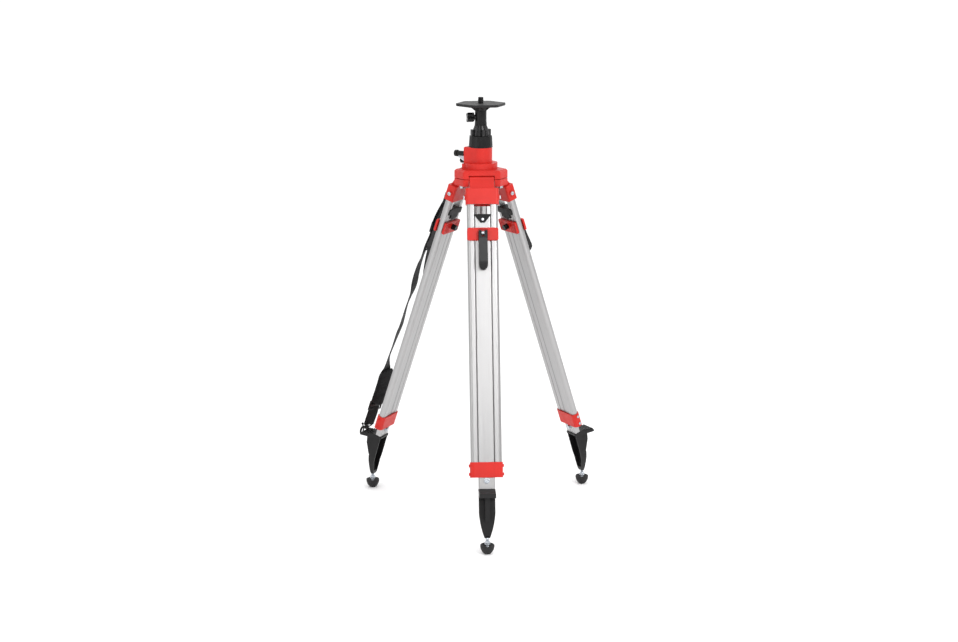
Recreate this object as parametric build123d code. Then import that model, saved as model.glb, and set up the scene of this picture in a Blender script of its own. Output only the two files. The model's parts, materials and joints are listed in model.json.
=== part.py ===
from build123d import *
import os
from math import atan2, cos, degrees, pi, radians, sin

# Elevating tripod for a construction laser: an instrument head on a two-stage centre
# column, a crank-driven lift, and three folding, telescoping legs with quick clamps.
# Millimetres, +Z up, origin on the ground under the column. The front leg points to -Y.

os.makedirs("parts", exist_ok=True)

# ---- stance -------------------------------------------------------------------------
SPLAY = 19.1            # leg angle from vertical, degrees
HINGE_R = 46.0          # leg hinge axis: distance from the column axis
HINGE_Z = 936.0         # and height above the ground
LEG_AZIMUTH = {"front": -90, "right": 30, "left": 150}
PAD_R = 354.0           # pad centres: distance from the column axis

# ---- leg sections (leg frame: X outward, Y tangential, Z up along the leg) ------------
LEG_X = 8.4             # middle plane of the leg tubes, outward of the hinge axis
LEG_W = 82.0            # overall width over both outer tubes
TUBE_W = 19.3           # outer tube, tangential
TUBE_T = 20.0           # outer tube, radial
TUBE_WALL = 1.6
INNER_W = 42.6          # sliding inner leg
INNER_T = 18.0
INNER_WALL = 1.8
TUBE_Y = LEG_W / 2 - TUBE_W / 2
TUBE_TOP, TUBE_END = -38.0, -784.7
SLEEVE_TOP, SLEEVE_END = -748.7, -788.7
INNER_TOP, INNER_END = -101.0, -818.0
JAW_TOP, JAW_END = -134.0, -168.0
CLAMP_Z = -149.0        # clamp bolt and lever pin level
JAW_GAP = 10.3          # jaw face from the tubes' middle plane
JAW_T = 6.2
STOP_Z = -797.0         # stop bolt under the sleeve

# ---- head and column ----------------------------------------------------------------
STUD_R = 15.875 / 2     # 5/8 inch instrument stud
STUD_H = 16.0
STUD_NECK_R = 6.8       # neck pressed into the plate
STUD_NECK_H = 1.0       # and its height above the plate
PLATE_TOP = 1132.0
PLATE_T = 7.0
PLATE_R = 66.0
HUB_R = 15.5
HUB_Z0, HUB_Z1 = 1073.4, 1112.0
INNER_COL_R, INNER_COL_WALL = 12.5, 1.8
NUT_Z0, NUT_Z1 = 1046.4, 1073.0
COLLAR_Z0, COLLAR_Z1 = 1015.4, 1045.6
COLUMN_R, COLUMN_WALL = 17.5, 4.0
COLUMN_Z0 = 452.0
HOUSING_R = 31.0
HOUSING_Z0, HOUSING_Z1 = 958.6, 1015.0
FLANGE_R, FLANGE_Z1 = 45.0, 974.7
APEX_Z0, APEX_Z1 = 936.0, 958.6
APEX_LEG, APEX_GAP = 55.0, 69.6     # distances of the apex plate's sides from the axis
CLAMP_PLATE_Z0, CLAMP_PLATE_Z1 = 916.0, 934.4
TONGUE_W = 65.0         # hinge barrel length
TRUNNION_R = 6.0

# ---- crank and rack -----------------------------------------------------------------
MODULE = 1.0
PINION_TEETH = 12
PINION_R = MODULE * PINION_TEETH / 2
RACK_FLAT = 17.0        # flat that carries the rack, from the column axis
RACK_PITCH = RACK_FLAT - 0.8 * MODULE
CRANK_Z = 998.0
CRANK_AZIMUTH = 150.0   # the crank shaft points out over the left leg
SHAFT_E = RACK_PITCH + PINION_R     # shaft distance from the column axis
CRANK_ARM = 62.0
CRANK_DROP = 25.0       # rest angle of the arm below the horizontal
RUNNING = 0.06          # radial clearance of a shaft in its bore
SLIDING = 0.3           # clearance of a sliding fit


def at(x=0, y=0, z=0):
    return Location((x, y, z))


def cyl(radius, z0, z1, x=0, y=0):
    """An upright cylinder between two heights."""
    return at(x, y, z0) * Cylinder(
        radius, z1 - z0, align=(Align.CENTER, Align.CENTER, Align.MIN)
    )


def rod(start, end, radius):
    """A round bar from one point to another."""
    a, b = Vector(start), Vector(end)
    return Plane(origin=a, z_dir=b - a) * Cylinder(
        radius, (b - a).length, align=(Align.CENTER, Align.CENTER, Align.MIN)
    )


def block(x0, x1, y0, y1, z0, z1):
    return at((x0 + x1) / 2, (y0 + y1) / 2, (z0 + z1) / 2) * Box(x1 - x0, y1 - y0, z1 - z0)


def hexagon_bar(start, end, across_flats):
    """A hexagonal bar from one point to another, such as a bolt head."""
    a, b = Vector(start), Vector(end)
    sketch = Plane(origin=a, z_dir=b - a) * RegularPolygon(
        across_flats / 2, 6, major_radius=False
    )
    return extrude(sketch, (b - a).length, dir=b - a)


def profile_xz(points, y0, y1):
    """A closed outline in X and Z, extruded between two Y values."""
    face = make_face(Plane.XZ * Polyline(*points, close=True))
    return at(0, y0, 0) * extrude(face, y1 - y0, dir=(0, 1, 0))


def profile_yz(outline, x0, x1):
    """A closed outline in Y and Z, extruded between two X values."""
    return at(x0, 0, 0) * extrude(make_face(Plane.YZ * outline), x1 - x0, dir=(1, 0, 0))


def upright_edges(shape):
    return shape.edges().filter_by(Axis.Z)


def save(name, *pieces):
    solids = [s for p in pieces for s in p.solids()]
    export_step(solids[0] if len(solids) == 1 else Compound(solids), f"parts/{name}.step")


# ---- apex: plate, clamp plates, bolts --------------------------------------------------
def apex_outline(grow=0.0):
    """The hexagonal plan: long sides over the legs, short sides between them."""
    sides = [(a, (APEX_LEG if i % 2 == 0 else APEX_GAP) + grow)
             for i, a in enumerate(range(-90, 270, 60))]
    corners = []
    for (a, d), (b, e) in zip(sides, sides[1:] + sides[:1]):
        a, b = radians(a), radians(b)
        det = cos(a) * sin(b) - sin(a) * cos(b)
        corners.append(((d * sin(b) - e * sin(a)) / det, (e * cos(a) - d * cos(b)) / det))
    return make_face(Polyline(*corners, close=True))


def gap_azimuths():
    return [a + 60 for a in LEG_AZIMUTH.values()]


def around(azimuth):
    """Turns a piece made for azimuth 0 (outward along +X) to another azimuth."""
    return Rotation(0, 0, azimuth)


def apex_plate():
    body = at(0, 0, APEX_Z0) * extrude(apex_outline(), APEX_Z1 - APEX_Z0)
    body = fillet(upright_edges(body), 5)
    body = chamfer(body.faces().sort_by(Axis.Z)[-1].edges(), 4.5)
    body -= cyl(COLUMN_R + 1.5, APEX_Z0 - 1, APEX_Z1 + 1)
    for azimuth in LEG_AZIMUTH.values():
        body -= around(azimuth) * block(36.8, 80, -34.3, 34.3, APEX_Z0 - 1, 945.4)
        body -= around(azimuth) * rod((HINGE_R, -45, HINGE_Z), (HINGE_R, 45, HINGE_Z),
                                      TRUNNION_R + SLIDING)
    for azimuth in gap_azimuths():
        body -= around(azimuth) * cyl(4.05, APEX_Z0 - 1, 952, 58)
    return body


def clamp_plates():
    plates = at(0, 0, CLAMP_PLATE_Z0) * extrude(
        apex_outline(), CLAMP_PLATE_Z1 - CLAMP_PLATE_Z0)
    plates = fillet(upright_edges(plates), 5)
    plates = chamfer(plates.faces().sort_by(Axis.Z)[0].edges(), 1.5)
    plates -= cyl(44, CLAMP_PLATE_Z0 - 1, CLAMP_PLATE_Z1 + 1)
    for azimuth in LEG_AZIMUTH.values():
        plates -= around(azimuth) * block(0, 90, -34.3, 34.3,
                                          CLAMP_PLATE_Z0 - 1, CLAMP_PLATE_Z1 + 1)
        plates -= around(azimuth) * rod((HINGE_R, -45, HINGE_Z), (HINGE_R, 45, HINGE_Z),
                                        TRUNNION_R + SLIDING)
    for azimuth in gap_azimuths():
        plates -= around(azimuth) * cyl(4.05, 900, 940, 58)
    return plates


def clamp_bolts():
    bolts = []
    for azimuth in gap_azimuths():
        shank = cyl(4.0, CLAMP_PLATE_Z0, 950, 58)
        washer = cyl(8.5, CLAMP_PLATE_Z0 - 1.6, CLAMP_PLATE_Z0, 58)
        head = hexagon_bar((58, 0, CLAMP_PLATE_Z0 - 1.6), (58, 0, CLAMP_PLATE_Z0 - 7), 13)
        bolts.append(around(azimuth) * (shank + washer + head))
    return bolts


# ---- column housing, crank --------------------------------------------------------------
def crank_frame():
    """X along the crank shaft outward, Y from the column axis towards the shaft."""
    return Rotation(0, 0, CRANK_AZIMUTH)


def column_housing():
    body = cyl(FLANGE_R, HOUSING_Z0, FLANGE_Z1) + cyl(HOUSING_R, HOUSING_Z0, HOUSING_Z1)
    case = block(-4, 37, 4, 31, HOUSING_Z0, HOUSING_Z1 + 1.5)
    case = fillet(case.edges().filter_by(Axis.Z).group_by(Axis.X)[-1], 5)
    case = fillet(case.faces().sort_by(Axis.Z)[-1].edges(), 3)
    foot = block(-4, 41, 0, 35, HOUSING_Z0, FLANGE_Z1 - 3)
    foot = fillet(foot.edges().filter_by(Axis.Z).group_by(Axis.X)[-1], 6)
    case -= cyl(33, HOUSING_Z1, HOUSING_Z1 + 9)
    body += crank_frame() * (case + foot)
    body -= cyl(COLUMN_R + SLIDING, HOUSING_Z0 - 1, HOUSING_Z1 + 2)
    body -= crank_frame() * rod((-8, SHAFT_E, CRANK_Z), (8, SHAFT_E, CRANK_Z), 7.1)
    body -= crank_frame() * rod((8, SHAFT_E, CRANK_Z), (50, SHAFT_E, CRANK_Z), 4 + RUNNING)
    body -= crank_frame() * rod((-11, SHAFT_E, CRANK_Z), (0, SHAFT_E, CRANK_Z), 4 + RUNNING)
    return body


def pinion():
    """Twelve teeth; one points at the column when the crank is at rest."""
    outline = []
    for i in range(PINION_TEETH):
        middle = pi + 2 * pi * i / PINION_TEETH
        for radius, half in ((4.9, 0.92), (PINION_R, 0.68), (6.75, 0.3)):
            outline.append((radius, middle - half / radius))
        for radius, half in ((6.75, 0.3), (PINION_R, 0.68), (4.9, 0.92)):
            outline.append((radius, middle + half / radius))
    points = [(r * cos(a), r * sin(a)) for r, a in outline]
    return at(0, SHAFT_E, CRANK_Z) * profile_yz(Polyline(*points, close=True), -5, 5)


def crank_arm():
    """Shaft, pinion and flat arm as one piece, and the cap on the hub."""
    drop = radians(CRANK_DROP)
    end = (0, SHAFT_E - CRANK_ARM * cos(drop), CRANK_Z - CRANK_ARM * sin(drop))
    turn = degrees(atan2(end[2] - CRANK_Z, end[1] - SHAFT_E))
    arm = at(57, SHAFT_E, CRANK_Z) * Rotation(turn, 0, 0) * (
        at(2.5, CRANK_ARM / 2, 0) * Box(5, CRANK_ARM, 13)
        + rod((0, 0, 0), (5, 0, 0), 9) + rod((0, CRANK_ARM, 0), (5, CRANK_ARM, 0), 6.5))
    shaft = rod((-10, SHAFT_E, CRANK_Z), (62, SHAFT_E, CRANK_Z), 4)
    sleeve = rod((38.5, SHAFT_E, CRANK_Z), (57, SHAFT_E, CRANK_Z), 7)
    pin = rod((62, end[1], end[2]), (73, end[1], end[2]), 3)
    metal = crank_frame() * (shaft + sleeve + arm + pinion() + pin)
    cap = fillet(rod((62, SHAFT_E, CRANK_Z), (66, SHAFT_E, CRANK_Z), 8.6).edges()
                 .sort_by(Axis.X)[-1], 1.5)
    return metal, crank_frame() * cap


def crank_knob():
    drop = radians(CRANK_DROP)
    y, z = SHAFT_E - CRANK_ARM * cos(drop), CRANK_Z - CRANK_ARM * sin(drop)
    knob = rod((62.4, y, z), (78, y, z), 8)
    knob = fillet(knob.edges().filter_by(GeomType.CIRCLE), 2.2)
    return crank_frame() * (knob - rod((62, y, z), (73.3, y, z), 3 + RUNNING))


# ---- centre column ------------------------------------------------------------------------
def column_tube():
    body = cyl(COLUMN_R, COLUMN_Z0, COLLAR_Z1 - 1.6)
    body -= cyl(COLUMN_R - COLUMN_WALL, COLUMN_Z0 - 1, COLLAR_Z1)
    pitch = pi * MODULE
    spaces = []
    low, high = int((COLUMN_Z0 + 24 - CRANK_Z) / pitch), int((1012 - CRANK_Z) / pitch)
    for i in range(low, high + 1):
        z = CRANK_Z + i * pitch
        spaces += [(RACK_FLAT, z - 1.18), (RACK_PITCH - 1.1, z - 0.5),
                   (RACK_PITCH - 1.1, z + 0.5), (RACK_FLAT, z + 1.18)]
    z0, z1 = CRANK_Z + low * pitch - 2, CRANK_Z + high * pitch + 2
    cut = [(RACK_FLAT, z0), *spaces, (RACK_FLAT, z1), (COLUMN_R + 2, z1), (COLUMN_R + 2, z0)]
    return body - crank_frame() * profile_yz(Polyline(*cut, close=True), -5.5, 5.5)


def column_caps():
    """The fluted top collar and the bottom cap that stops the lift."""
    collar = at(0, 0, COLLAR_Z0) * Solid.make_cone(32, 30.2, COLLAR_Z1 - COLLAR_Z0)
    collar -= cyl(COLUMN_R, COLLAR_Z0 - 1, COLLAR_Z1 - 1.6)
    collar -= cyl(INNER_COL_R + SLIDING, COLLAR_Z0 - 1, COLLAR_Z1 + 1)
    for i in range(12):
        collar -= around(15 + 30 * i) * rod((34.2, 0, COLLAR_Z0 + 6), (32.2, 0, COLLAR_Z1 + 2), 3.4)
    cap = cyl(COLUMN_R + 2.5, COLUMN_Z0 - 3, COLUMN_Z0 + 12) - cyl(COLUMN_R, COLUMN_Z0, 470)
    cap = fillet(cap.edges().group_by(Axis.Z)[0], 2)
    return collar, cap


def lock_nut():
    """Bell-shaped lock nut with four lugs round its foot."""
    h = NUT_Z1 - NUT_Z0
    outline = Polyline((0, 0), (23.4, 0)) + Spline((23.4, 0), (22.4, 8), (19.6, 18), (16.4, h)) \
        + Polyline((16.4, h), (0, h), (0, 0))
    body = at(0, 0, NUT_Z0) * revolve(make_face(Plane.XZ * outline), Axis.Z)
    lug = block(12, 27.8, -6.6, 6.6, NUT_Z0, NUT_Z0 + 16.4)
    lug = fillet(lug.edges().filter_by(Axis.Z).group_by(Axis.X)[-1], 3)
    lug = fillet(lug.faces().sort_by(Axis.Z)[-1].edges().sort_by(Axis.X)[-1], 2)
    for i in range(4):
        body += around(-72 + 90 * i) * lug
    return body - cyl(INNER_COL_R + SLIDING, NUT_Z0 - 1, NUT_Z1 + 1)


def inner_column():
    """The second stage: a tube with a guide plug at its lower end."""
    body = cyl(INNER_COL_R, 640, 1108) - cyl(INNER_COL_R - INNER_COL_WALL, 639, 1109)
    guide = cyl(COLUMN_R - COLUMN_WALL - SLIDING, 628, 652)
    return body + (guide - cyl(7, 627, 653))


# ---- instrument head --------------------------------------------------------------------------
def head_hub():
    body = cyl(HUB_R, HUB_Z0, HUB_Z1) + cyl(16.2, HUB_Z0, HUB_Z0 + 7)
    body += around(-93) * block(13, 16.6, -2.2, 2.2, HUB_Z0 + 7, HUB_Z1)
    body += around(188) * rod((10, 0, 1094.7), (18.2, 0, 1094.7), 7)
    body -= cyl(INNER_COL_R + RUNNING, HUB_Z0 - 1, 1108.3)
    body -= around(188) * rod((5, 0, 1094.7), (20, 0, 1094.7), 3 + RUNNING)
    for i in range(10):
        body -= around(-90 + 36 * i) * rod((14.6, 0, HUB_Z0 + 3.4), (17, 0, HUB_Z0 + 3.4), 1.3)
    return body


def instrument_plate():
    """Six-lobed plate on a ribbed flare."""
    outline = fillet(RegularPolygon(PLATE_R + 2.5, 6).vertices(), 13)
    for i in range(6):
        outline -= Rotation(0, 0, 30 + 60 * i) * Pos(PLATE_R * 0.866 + 42.5, 0) * Circle(40)
    body = at(0, 0, PLATE_TOP - PLATE_T) * Rotation(0, 0, 7) * extrude(outline, PLATE_T)
    body = chamfer(body.faces().sort_by(Axis.Z)[0].edges(), 1.2)
    flare = at(0, 0, HUB_Z1) * Solid.make_cone(HUB_R, 23, PLATE_TOP - PLATE_T - HUB_Z1)
    body += flare
    z0, z1 = HUB_Z1, PLATE_TOP - PLATE_T
    rib = profile_xz([(8, z0), (16, z0), (33, z1), (8, z1)], -2, 2)
    for i in range(8):
        body += around(13 + 45 * i) * rib
    body -= cyl(STUD_R + 0.8, PLATE_TOP - 1, PLATE_TOP + 1)
    return body - cyl(STUD_NECK_R, PLATE_TOP - 12, PLATE_TOP + 1)


def stud():
    body = cyl(STUD_R, PLATE_TOP + STUD_NECK_H, PLATE_TOP + STUD_H)
    body = fillet(body.edges().filter_by(GeomType.CIRCLE).group_by(Axis.Z)[-1], 2.2)
    return body + cyl(STUD_NECK_R, PLATE_TOP - 12, PLATE_TOP + STUD_NECK_H)


def wing_knob():
    """Four-lobed clamp knob and its screw, beside the hub."""
    lobes = Circle(8.5)
    for i in range(4):
        lobes += Rotation(0, 0, 45 + 90 * i) * Pos(9.2, 0) * Circle(5.4)
    knob = extrude(Plane(origin=(19.5, 0, 1094.7), z_dir=(1, 0, 0)) * Rotation(0, 0, 13) * lobes,
                   18, dir=(1, 0, 0))
    knob = chamfer(knob.faces().sort_by(Axis.X)[-1].edges(), 1.5)
    screw = rod((13, 0, 1094.7), (19.5, 0, 1094.7), 3)
    return around(188) * knob, around(188) * screw


# ---- leg pieces, in the leg frame ------------------------------------------------------------
def tube_outline(side, grow=0.0):
    """One outer tube's section: fully rounded on its outer side."""
    outline = Rectangle(TUBE_T + 2 * grow, TUBE_W + 2 * grow)
    rounded = outline.vertices().sort_by(Axis.Y)[2:] if side > 0 \
        else outline.vertices().sort_by(Axis.Y)[:2]
    outline = fillet(rounded, 9.2 + grow)
    squarer = outline.vertices().sort_by(Axis.Y)[:2] if side > 0 \
        else outline.vertices().sort_by(Axis.Y)[-2:]
    return Pos(LEG_X, side * TUBE_Y) * fillet(squarer, 2.2 + grow)


def outer_tubes():
    tubes = []
    for side in (1, -1):
        wall = tube_outline(side) - tube_outline(side, -TUBE_WALL)
        tube = at(0, 0, TUBE_END) * extrude(wall, TUBE_TOP - TUBE_END)
        tube -= rod((LEG_X, side * 30, -51), (LEG_X, side * 50, -51), 2.6)
        for z in (-758, -780):
            tube -= rod((LEG_X + 2, side * 30, z), (LEG_X + 2, side * 50, z), 2.1)
        tubes.append(tube)
    return tubes


def bracket():
    """Red casting that carries the two outer tubes and hinges in the apex."""
    tongue = profile_xz([(-8.5, 0), (-8.5, -10), (-4.6, -30), (-4.6, -40), (18, -40), (18, -28),
                         (8.5, -2), (8.5, 0)], -TONGUE_W / 2, TONGUE_W / 2)
    body = block(-4.6, 22.9, -44, 44, -71, -28)
    body = fillet(body.edges().filter_by(Axis.Z), 7)
    body = fillet(body.faces().sort_by(Axis.Z)[-1].edges(), 2)
    tab = fillet(block(20, 24.6, -19.5, 19.5, -71, -57).edges().filter_by(Axis.X), 2)
    web = block(-4.6, -1.6, -40, 40, -73, -68)
    part = body + tongue + tab + web + rod((0, -32.5, 0), (0, 32.5, 0), 8.5)
    part += rod((0, -43.5, 0), (0, 43.5, 0), TRUNNION_R)
    for side in (1, -1):
        part += rod((LEG_X, side * 43, -51), (LEG_X, side * 46.5, -51), 7.5)
        part -= at(0, 0, -80) * extrude(tube_outline(side), TUBE_TOP + 80)
        part -= rod((LEG_X, side * 36, -51), (LEG_X, side * 50, -51), 2.6)
    part -= block(LEG_X - 8, LEG_X + 10.5, -19.5, 19.5, -80, -42)
    return part


def sleeve():
    """Lower guide: holds the outer tubes and lets the inner leg slide through."""
    outline = Rectangle(26, 86.4)
    outline = Pos(LEG_X, 0) * fillet(outline.vertices(), 11.5)
    body = at(0, 0, SLEEVE_END) * extrude(outline, SLEEVE_TOP - SLEEVE_END)
    slot = Pos(LEG_X, 0) * Rectangle(INNER_T + 0.9, INNER_W + 0.9)
    body -= at(0, 0, SLEEVE_END - 1) * extrude(slot, 60)
    for side in (1, -1):
        body -= at(0, 0, TUBE_END) * extrude(tube_outline(side), 60)
        for z in (-758, -780):
            body += rod((LEG_X + 2, side * 42.4, z), (LEG_X + 2, side * 43.8, z), 4.6)
            body -= rod((LEG_X + 2, side * 36, z), (LEG_X + 2, side * 50, z), 2.1)
    body -= block(LEG_X + 12.2, LEG_X + 14, -20.5, 20.5, SLEEVE_END - 1, SLEEVE_TOP + 1)
    return body


def pan_screw(tip, seat, shank_r, head_r, head_h):
    """Pan-head screw from its tip to the face it seats on, with a cross recess."""
    a, b = Vector(tip), Vector(seat)
    out = (b - a).normalized()
    head = Plane(origin=b, z_dir=out) * Cylinder(
        head_r, head_h, align=(Align.CENTER, Align.CENTER, Align.MIN))
    head = fillet(head.edges().filter_by(GeomType.CIRCLE).sort_by(
        lambda e: (e.center() - b).dot(out))[-1], head_h * 0.6)
    recess = Plane(origin=b + out * (head_h - 1.0), z_dir=out) * (
        Box(head_r, 1.3, 3, align=(Align.CENTER, Align.CENTER, Align.MIN))
        + Box(1.3, head_r, 3, align=(Align.CENTER, Align.CENTER, Align.MIN)))
    return rod(tip, seat, shank_r) + head - recess


def outer_screws():
    screws = []
    for side in (1, -1):
        screws.append(pan_screw((LEG_X, side * 34, -51), (LEG_X, side * 46.5, -51), 2.5, 5.2, 3.2))
        for z in (-758, -780):
            screws.append(pan_screw((LEG_X + 2, side * 36, z), (LEG_X + 2, side * 43.8, z),
                                    2, 3.9, 2.2))
    return screws


def inner_leg():
    def section(thickness, width, radius):
        outline = Rectangle(thickness, width)
        return Pos(LEG_X, 0) * fillet(outline.vertices(), radius)
    wall = section(INNER_T, INNER_W, 3) - section(
        INNER_T - 2 * INNER_WALL, INNER_W - 2 * INNER_WALL, 1.4)
    body = at(0, 0, INNER_END) * extrude(wall, INNER_TOP - INNER_END)
    for z, radius in ((-111.5, 2.6), (CLAMP_Z, 3.1), (STOP_Z, 4.1)):
        body -= rod((LEG_X - 20, 0, z), (LEG_X + 20, 0, z), radius)
    return body


def guide_plug():
    """Plug in the top of the inner leg, with guide wings behind the outer tubes."""
    width = INNER_W - 2 * INNER_WALL
    plug = block(LEG_X - 7.2, LEG_X + 7.2, -width / 2, width / 2, -128, -101)
    plug = fillet(plug.edges().filter_by(Axis.Z), 1.4)
    bar = block(LEG_X - 12.8, LEG_X + 11.4, -21, 21, INNER_TOP, -97.4)
    front = profile_yz(Polyline((-21, -97.4), (21, -97.4), (21, -100.6), (6, -120), (-6, -120),
                                (-21, -100.6), close=True), LEG_X + 9.05, LEG_X + 11.4)
    back = profile_yz(Polyline((-34, -97.4), (34, -97.4), (34, -113), (12, -113), (9, -128),
                               (-9, -128), (-12, -113), (-34, -113), close=True),
                      LEG_X - 12.8, LEG_X - 10.3)
    neck = block(LEG_X - 12.8, LEG_X - 9.05, -20, 20, -125, -98)
    part = plug + bar + front + back + neck
    part -= rod((LEG_X - 3, 0, -111.5), (LEG_X + 20, 0, -111.5), 2.6)
    return part - rod((LEG_X - 20, 0, CLAMP_Z), (LEG_X + 20, 0, CLAMP_Z), 3.1)


def inner_bolts():
    """Plug screw, clamp eye bolt and stop bolt, all zinc plated."""
    screw = pan_screw((LEG_X - 2, 0, -111.5), (LEG_X + 11.4, 0, -111.5), 2.5, 4.2, 2.4)
    eye = rod((LEG_X - 28.4, 0, CLAMP_Z), (LEG_X + 19, 0, CLAMP_Z), 3)
    eye += rod((LEG_X + 21, -3.4, CLAMP_Z), (LEG_X + 21, 3.4, CLAMP_Z), 5)
    eye -= rod((LEG_X + 21, -4, CLAMP_Z), (LEG_X + 21, 4, CLAMP_Z), 2.5 + RUNNING)
    stop = rod((LEG_X - 9, 0, STOP_Z), (LEG_X + 9, 0, STOP_Z), 4)
    for side in (1, -1):
        stop += rod((LEG_X + side * 9, 0, STOP_Z), (LEG_X + side * 10.2, 0, STOP_Z), 7.8)
        stop += hexagon_bar((LEG_X + side * 10.2, 0, STOP_Z), (LEG_X + side * 14.6, 0, STOP_Z), 12.5)
    return screw, eye, stop


def jaw(side):
    """One clamp jaw; side +1 is the outer one, which carries the lever."""
    x0, x1 = LEG_X + side * JAW_GAP, LEG_X + side * (JAW_GAP + JAW_T)
    body = block(min(x0, x1), max(x0, x1), -41, 41, JAW_END, JAW_TOP)
    body = fillet(body.edges().filter_by(Axis.X), 5)
    outer = body.faces().sort_by(Axis.X)[-1 if side > 0 else 0]
    body = fillet(outer.edges(), 1.5)
    spacer = block(min(x0, x0 - side * 1.2), max(x0, x0 - side * 1.2), -17, 17,
                   JAW_END + 4, JAW_TOP - 4)
    if side > 0:
        body -= block(LEG_X + 13.4, LEG_X + 20, -12.6, 12.6, JAW_END - 1, JAW_TOP - 3.5)
    else:
        for y in (-34, -26, -18, 18, 26, 34):
            body -= block(LEG_X - 20, LEG_X - 14.2, y - 1.6, y + 1.6, JAW_END + 4, JAW_TOP - 4)
    body += spacer
    return body - rod((LEG_X - 30, 0, CLAMP_Z), (LEG_X + 30, 0, CLAMP_Z), 3.1)


def lever():
    """Quick-release lever: a channel with a cam end round the cross pin."""
    x = LEG_X
    outline = [(x + 21 + 7.2 * cos(radians(a)), CLAMP_Z + 7.2 * sin(radians(a)))
               for a in range(200, -31, -10)]
    outline += [(x + 30, -190), (x + 35, -224), (x + 34.4, -232), (x + 21, -246),
                (x + 18.2, -246), (x + 17.4, -236), (x + 17, -170)]
    body = profile_xz(outline, -11.4, 11.4)
    hollow = [(x + 10, -164), (x + 24.6, -164), (x + 27.6, -190), (x + 32.2, -223),
              (x + 31.6, -230), (x + 20, -242), (x + 10, -242)]
    body -= profile_xz(hollow, -8.9, 8.9)
    body = body & profile_yz(Polyline((-11.4, -236), (-11.4, -130), (11.4, -130), (11.4, -236))
                             + ThreePointArc((11.4, -236), (0, -246), (-11.4, -236)), 0, 60)
    body -= block(x + 10, x + 40, -4, 4, -160, -130)
    body -= rod((x + 10, 0, CLAMP_Z), (x + 17.5, 0, CLAMP_Z), 3.6)
    body = fillet(body.edges().filter_by(Axis.Y).sort_by(Axis.X)[-2:], 1.5)
    body -= rod((x + 21, -12, CLAMP_Z), (x + 21, 12, CLAMP_Z), 2.5)
    pin = rod((x + 21, -11.4, CLAMP_Z), (x + 21, 11.4, CLAMP_Z), 2.5)
    return body, pin


def clamp_knob():
    """Round adjusting nut on the clamp bolt, behind the inner jaw."""
    x0, x1 = LEG_X - JAW_GAP - JAW_T - 13, LEG_X - JAW_GAP - JAW_T - 0.3
    body = rod((x0, 0, CLAMP_Z), (x1, 0, CLAMP_Z), 7.6)
    for i in range(8):
        a = radians(45 * i)
        y, z = 8.6 * cos(a), CLAMP_Z + 8.6 * sin(a)
        body -= rod((x0 - 1, y, z), (x1 - 3, y, z), 1.8)
    body -= rod((x0 + 0.9, 0, CLAMP_Z), (x1 + 1, 0, CLAMP_Z), 3 + RUNNING)
    return body


def bullet(inset):
    """Outline of the foot seen from the front, drawn in by inset."""
    half, tip = INNER_W / 2 - inset, 6.5 - inset
    side = [(half, -880), (half - 2.6, -902), (half - 7.5, -925), (tip, -947)]
    other = [(-y, z) for y, z in side[::-1]]
    return (Polyline(other[-1], (-half, -817), (half, -817), side[0]) + Spline(*side)
            + Line(side[-1], other[0]) + Spline(*other))


def foot():
    """Hollow foot with a serrated tread, open on its inner side."""
    x = LEG_X
    half = INNER_W / 2
    side_view = [(x - 9.5, -818.2), (x + 10, -818.2), (x + 10, -890), (x + 7, -905),
                 (x + 0.5, -925), (x - 4.5, -940), (x - 8, -945.5), (x - 15.5, -944.5),
                 (x - 16.5, -938), (x - 11.5, -905)]
    body = profile_xz(side_view, -half, half)
    body = body & profile_yz(bullet(0), -60, 80)
    hollow = profile_xz([(x - 30, -826), (x + 6.5, -826), (x + 6.5, -888), (x + 3, -904),
                         (x - 3, -922), (x - 9, -931), (x - 30, -936)], -half, half)
    body -= hollow & profile_yz(bullet(3.0), -60, 80)
    lip = fillet(block(x - 12, x + 10.6, -half - 0.6, half + 0.6, -823.5, -818.2)
                 .edges().filter_by(Axis.Z), 3)
    plug = fillet(block(x - 7, x + 7, -half + 2, half - 2, -818.2, -805)
                  .edges().filter_by(Axis.Z), 1.6)
    tread = [(x + 9, -818.2), (x + 18, -818.2)]
    for i in range(5):
        tooth, low = x + 18 + 7.2 * i, 818.2 + 0.346 * (9 + 7.2 * i)
        tread += [(tooth, -low), (tooth + 1.4, -low + 2.4), (tooth + 5, -low + 1.2),
                  (tooth + 6.3, -low - 1.8)]
    tread += [(x + 55, -838.5), (x + 53, -841.5), (x + 30, -836), (x + 9, -835)]
    step = profile_xz(tread, -half, half)
    web = profile_xz([(x + 8, -833), (x + 40, -838), (x + 35, -862), (x + 19, -892),
                      (x + 8, -904)], -6, 6)
    pocket = rod((x - 10.2, 0, -938), (x - 10.7, 0, -960), 5.4)
    return body + lip + plug + step + web - pocket


def to_world(leg):
    """Places leg-frame pieces: X outward and up, Y tangential, Z up along the leg."""
    a, splay = radians(LEG_AZIMUTH[leg]), radians(SPLAY)
    outward = Vector(cos(a), sin(a), 0)
    return Plane(
        origin=outward * HINGE_R + Vector(0, 0, HINGE_Z),
        x_dir=outward * cos(splay) + Vector(0, 0, sin(splay)),
        z_dir=outward * -sin(splay) + Vector(0, 0, cos(splay)),
    ).location


# ---- swivel pad, made upright at azimuth 0 ---------------------------------------------------
def spike_bolt():
    shank = cyl(4, 8, 38, PAD_R)
    nut = hexagon_bar((PAD_R, 0, 27.5), (PAD_R, 0, 34), 12)
    ball = at(PAD_R, 0, 40) * Sphere(4.9)
    return shank + nut + ball


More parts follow.
